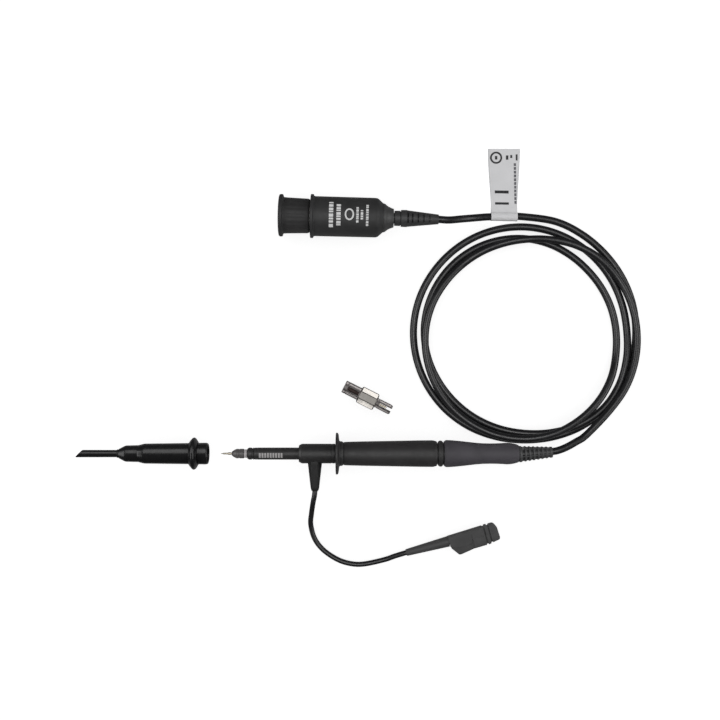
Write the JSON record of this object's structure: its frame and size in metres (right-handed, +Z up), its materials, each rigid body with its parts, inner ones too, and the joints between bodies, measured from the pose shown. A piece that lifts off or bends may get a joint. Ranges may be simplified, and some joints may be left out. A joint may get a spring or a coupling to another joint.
{
  "type": "oscilloscope probe",
  "caption": "Passive oscilloscope probe with coiled coaxial cable, bayonet plug and compensation box, ground lead with clip, hook sleeve and socket adapter.",
  "frame": {"origin": "bottom centre of the box round the probe head, hook sleeve and socket adapter, on the surface they lie on", "axes": "+X along the probe from the needle to the cable, +Y towards the cable coil, +Z up from the surface"},
  "size_m": [0.2861, 0.2113, 0.0218],
  "materials": {
    "black_plastic": "satin moulded",
    "grey_plastic": "fine matt moulded",
    "soft_rubber": "matt",
    "cable_jacket": "satin",
    "nickel": "plated",
    "gold_plate": "plated",
    "brass": "drawn",
    "spring_steel": "drawn",
    "white_insulator": "smooth",
    "ceramic": "fired",
    "circuit_board": "lacquered",
    "label_film": "satin film"
  },
  "bodies": {
    "probe": {"attenuator_board": "ceramic", "attenuator_capacitor": "ceramic", "attenuator_resistor": "black_plastic", "barrel_ferrule": "black_plastic", "barrel_shield": "brass", "barrel_tube": "black_plastic", "cable_coil": "cable_jacket", "cable_run_connector": "cable_jacket", "cable_run_probe": "cable_jacket", "centre_pin": "gold_plate", "chassis_tube": "brass", "chip_resistor": "black_plastic", "clip_body": "black_plastic", "clip_pin": "spring_steel", "clip_sleeve": "black_plastic", "clip_spring": "spring_steel", "coax_core_plug": "cable_jacket", "coax_core_probe": "cable_jacket", "coax_crimp": "nickel", "compensation_board": "circuit_board", "connector_boot": "soft_rubber", "connector_housing": "grey_plastic", "contact_dielectric": "white_insulator", "finger_guard": "black_plastic", "front_bulkhead": "nickel", "ground_contact_ring": "brass", "ground_lead": "cable_jacket", "handle_front": "grey_plastic", "label_flag": "label_film", "marker_ring": "grey_plastic", "outer_contact": "nickel", "peaking_coil": "brass", "rear_cap": "grey_plastic", "rear_grip": "soft_rubber", "seal_ring": "soft_rubber", "shield_can": "nickel", "signal_wire": "spring_steel", "spring_washer": "spring_steel", "strain_relief": "soft_rubber", "tip_contact_ring": "nickel", "tip_insulator": "black_plastic", "tip_needle": "gold_plate", "trimmer_body": "white_insulator"},
    "nut": {"nut_cover": "black_plastic", "nut_shell": "nickel"},
    "trimmer": {"trimmer_rotor": "brass"},
    "ground_collar": {"ground_collar": "black_plastic", "ground_boot": "black_plastic", "ground_terminal": "brass"},
    "clip_jaw": {"clip_jaw": "black_plastic"},
    "hook_carrier": {"hook_carrier": "black_plastic", "hook_socket": "gold_plate", "hook_wire": "spring_steel", "hook_spring": "spring_steel"},
    "hook_sleeve": {"hook_sleeve": "black_plastic"},
    "adapter": {"adapter_body": "nickel", "adapter_socket": "nickel", "adapter_plug": "nickel", "adapter_insulator": "white_insulator", "adapter_contact": "gold_plate"}
  },
  "joints": [
    {"name": "hook_fit", "type": "slide", "parent": "probe", "child": "hook_carrier", "axis": [1, 0, 0], "range_m": [0, 0.0446]},
    {"name": "hook_pull", "type": "slide", "parent": "hook_carrier", "child": "hook_sleeve", "axis": [1, 0, 0], "range_m": [0, 0.004], "stiffness_N_per_m": 150, "springref_m": -0.004, "deforming": ["hook_spring"]},
    {"name": "nut_turn", "type": "hinge", "parent": "probe", "child": "nut", "pos_m": [-0.0174, 0.11025, 0.0109], "axis": [0.9997, -0.0262, 0], "range_deg": [0, 90]},
    {"name": "trimmer_turn", "type": "hinge", "parent": "probe", "child": "trimmer", "pos_m": [0.01259, 0.10947, 0.0062], "axis": [0, 0, 1], "continuous": true},
    {"name": "collar_turn", "type": "hinge", "parent": "probe", "child": "ground_collar", "pos_m": [0.00035, -0.00875, 0.0104], "axis": [1, 0, 0], "range_deg": [-45, 15]},
    {"name": "clip_open", "type": "hinge", "parent": "probe", "child": "clip_jaw", "pos_m": [0.07564, -0.05319, 0.0034], "axis": [0, 0, -1], "range_deg": [0, 15], "stiffness_Nm_per_rad": 0.05, "springref_deg": -17.19, "deforming": ["clip_spring"]},
    {"name": "adapter_lift", "type": "slide", "parent": "probe", "child": "adapter", "axis": [0, 0, 1], "range_m": [0, 0.05]}
  ]
}
